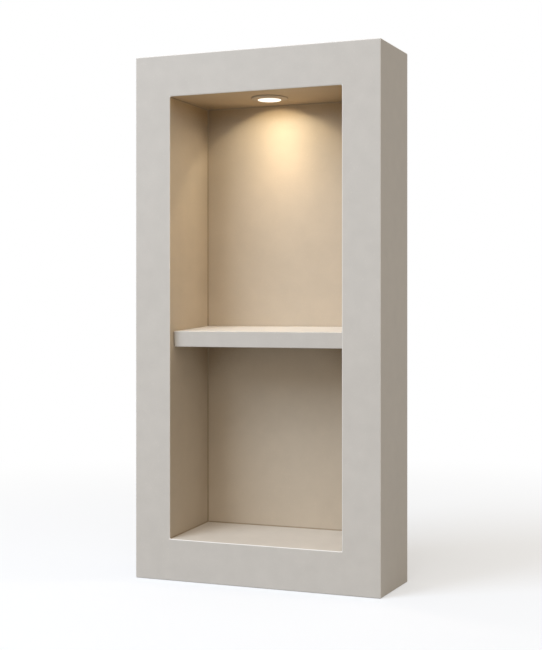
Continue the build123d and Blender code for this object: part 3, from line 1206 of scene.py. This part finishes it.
@dataclass
class HeatSink:
    """Finned aluminium housing with its cable gland."""

    aluminium: Colour = (0.60, 0.61, 0.62)
    plating: Colour = (0.64, 0.61, 0.56)

    def dress(self) -> None:
        """Dresses the housing, the gland and its seal."""
        turned = TurnedMetal(
            Slot.SINK_ALUMINIUM, self.aluminium, roughness=0.42, metallic=1.0, centre=middle("lens")
        )
        plated = TurnedMetal(
            Slot.GLAND_METAL,
            self.plating,
            roughness=0.25,
            metallic=1.0,
            turning=Turning.GLAND,
            centre=middle("gland_nut"),
        )
        dress("lamp_housing", turned)
        dress("gland_body", plated)
        dress("gland_nut", plated)
        dress("gland_seal", SEAL_RUBBER)


# Studio


@dataclass(frozen=True)
class SoftBox:
    """Square area light that looks at the middle of the object."""

    name: str
    azimuth_deg: float
    elevation_deg: float
    watts: float
    colour: Colour
    distance: float = 5.0
    size: float = 2.7

    def build(self, aim: Vector) -> None:
        """Adds the light.

        Args:
            aim: Point that it looks at.
        """
        azimuth = math.radians(self.azimuth_deg)
        elevation = math.radians(self.elevation_deg)
        back = Vector(
            (
                math.sin(azimuth) * math.cos(elevation),
                -math.cos(azimuth) * math.cos(elevation),
                math.sin(elevation),
            )
        )
        start_clean()
        bpy.ops.object.light_add(type="AREA", location=aim + back * self.distance)
        light = bpy.context.active_object
        light.name = self.name
        light.rotation_euler = (-back).to_track_quat("-Z", "Y").to_euler()
        light.data.size = self.size
        light.data.energy = self.watts
        light.data.color = self.colour
        light.visible_camera = False


@dataclass(frozen=True)
class LampBeam:
    """One share of the light that the niche's own lamp gives, from just under its lens."""

    name: str
    watts: float
    colour: Colour
    spread_deg: float
    drop: float = 0.0006

    def start(self, kind: str) -> bpy.types.Object:
        """Adds a light that looks down from the lens.

        Args:
            kind: Type of the light.

        Returns:
            The light's object.
        """
        across, along, _ = middle("lens")
        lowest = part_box("lens")[0].z
        start_clean()
        bpy.ops.object.light_add(type=kind, location=(across, along, lowest - self.drop))
        light = bpy.context.active_object
        light.name = self.name
        light.data.energy = self.watts
        light.data.color = self.colour
        light.visible_camera = False
        return light


@dataclass(frozen=True)
class LensGlow(LampBeam):
    """Soft light from the whole face of the lens."""

    diameter: float = 0.029

    def build(self) -> None:
        """Adds a disc light as wide as the lens."""
        disc = self.start("AREA")
        disc.data.shape = "DISK"
        disc.data.size = self.diameter
        disc.data.spread = math.radians(self.spread_deg)


@dataclass(frozen=True)
class WallBeam(LampBeam):
    """Beam that leans to the back wall and draws the bright arch on it."""

    lean_deg: float = 33.0
    softness: float = 0.2
    source_radius: float = 0.004
    forward: float = 0.012
    left: float = 0.009

    def build(self) -> None:
        """Adds a spot light that leans back, under the left front of the lens."""
        spot = self.start("SPOT")
        spot.location.x -= self.left
        spot.location.y -= self.forward
        spot.rotation_euler = (math.radians(self.lean_deg), 0.0, 0.0)
        spot.data.spot_size = math.radians(self.spread_deg)
        spot.data.spot_blend = self.softness
        spot.data.shadow_soft_size = self.source_radius


@dataclass(frozen=True)
class Studio:
    """Pale floor, soft lights and a white surround."""

    ambient: Colour = (0.614, 0.536, 0.436)
    floor_size: float = 80.0
    floor_colour: Colour = (0.87, 0.915, 0.985)
    bounce_colour: Colour = (0.36, 0.36, 0.36)
    shadow_share: float = 0.55
    shadow_start: float = 0.45
    shadow_end: float = 1.6

    def seen_rays(self, graph: Graph) -> Socket:
        """One for rays that show the surround: from the camera, a gloss or a clear piece.

        Args:
            graph: Graph of the world or the floor.

        Returns:
            The mask of those rays.
        """
        rays = graph.add("LightPath").outputs
        seen = graph.maths("MAXIMUM", rays["Is Camera Ray"], rays["Is Glossy Ray"])
        return graph.maths("MAXIMUM", seen, rays["Is Transmission Ray"])

    def build_world(self) -> None:
        """Sets the ambient light and the white that is seen behind the object."""
        world = bpy.data.worlds.new("studio_surround")
        bpy.context.scene.world = world
        world.use_nodes = True
        graph = Graph(world.node_tree)
        lit = graph.add("Background", {"Color": self.ambient})
        white = graph.add("Background", {"Color": (1.0, 1.0, 1.0)})
        inputs = {0: self.seen_rays(graph), 1: lit.outputs[0], 2: white.outputs[0]}
        mixed = graph.add("MixShader", inputs)
        graph.add("OutputWorld", {"Surface": mixed.outputs[0]})

    def build_floor(self) -> None:
        """Adds the floor, white far away and with the object's shadow near it."""
        start_clean()
        bpy.ops.mesh.primitive_plane_add(size=self.floor_size)
        floor = bpy.context.active_object
        floor.name = "studio_floor"
        material = bpy.data.materials.new("studio_floor")
        material.use_nodes = True
        graph = Graph(material.node_tree)
        place = graph.add("TexCoord").outputs["Object"]
        reach = graph.add("VectorMath", {0: place}, operation="LENGTH").outputs["Value"]
        share = graph.remap(reach, self.shadow_start, self.shadow_end, self.shadow_share, 0.0)
        matt = graph.add("BsdfDiffuse", {"Color": self.floor_colour})
        white = graph.add("Emission", {"Color": (1.0, 1.0, 1.0)})
        seen = graph.add("MixShader", {0: share, 1: white.outputs[0], 2: matt.outputs[0]})
        bounce = graph.add("BsdfDiffuse", {"Color": self.bounce_colour})
        inputs = {0: self.seen_rays(graph), 1: bounce.outputs[0], 2: seen.outputs[0]}
        mixed = graph.add("MixShader", inputs)
        graph.add("OutputMaterial", {"Surface": mixed.outputs[0]})
        floor.data.materials.append(material)
        floor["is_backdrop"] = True

    def build_boxes(self) -> None:
        """Adds the studio's two soft boxes: a cool one from the left and a white one from above."""
        low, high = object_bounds()
        boxes = [
            SoftBox(
                "key_box", azimuth_deg=-35.0, elevation_deg=35.0, watts=142.5, colour=(0.735, 0.849, 1.0)
            ),
            SoftBox(
                "top_box", azimuth_deg=-5.0, elevation_deg=62.0, watts=80.0, colour=(1.0, 0.993, 0.991)
            ),
        ]
        for box in boxes:
            box.build((low + high) / 2)

    def build_lamp(self) -> None:
        """Adds the light of the niche's own lamp: down, to all sides and to the back wall."""
        beams = [
            LensGlow("lens_glow", watts=0.058, colour=(1.0, 0.762, 0.516), spread_deg=90.0),
            LensGlow("wide_glow", watts=0.121, colour=(1.0, 0.865, 0.65), spread_deg=160.0),
            WallBeam("wall_beam", watts=0.211, colour=(1.0, 0.853, 0.593), spread_deg=116.0),
        ]
        for beam in beams:
            beam.build()

    def build(self) -> None:
        """Builds the surround, the floor and the lights."""
        self.build_world()
        self.build_floor()
        self.build_boxes()
        self.build_lamp()


@dataclass(frozen=True)
class PhotoCamera:
    """Level camera at the photograph's place, with the horizon a little above the middle."""

    place: Point = (0.7156, -1.6986, 0.3722)
    turn_deg: float = 22.818
    lens_mm: float = 74.32
    sensor_mm: float = 36.0
    rise: float = -0.0249

    def build(self) -> None:
        """Adds the camera and makes it the scene's own."""
        start_clean()
        upright = math.pi / 2
        bpy.ops.object.camera_add(
            location=self.place, rotation=(upright, 0.0, math.radians(self.turn_deg))
        )
        camera = bpy.context.active_object
        camera.name = "photo_camera"
        camera.data.lens = self.lens_mm
        camera.data.sensor_width = self.sensor_mm
        camera.data.shift_y = self.rise
        bpy.context.scene.camera = camera


def main() -> None:
    """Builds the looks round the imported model, in order."""
    logging.basicConfig(level=logging.INFO, format="%(name)s: %(message)s")
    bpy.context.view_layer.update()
    bpy.context.scene.view_settings.view_transform = "Standard"
    Casing().dress()
    trim = LampTrim()
    trim.dress()
    trim.build()
    LightEngine().dress()
    HeatSink().dress()
    Studio().build()
    PhotoCamera().build()


if __name__ == "__main__":
    main()
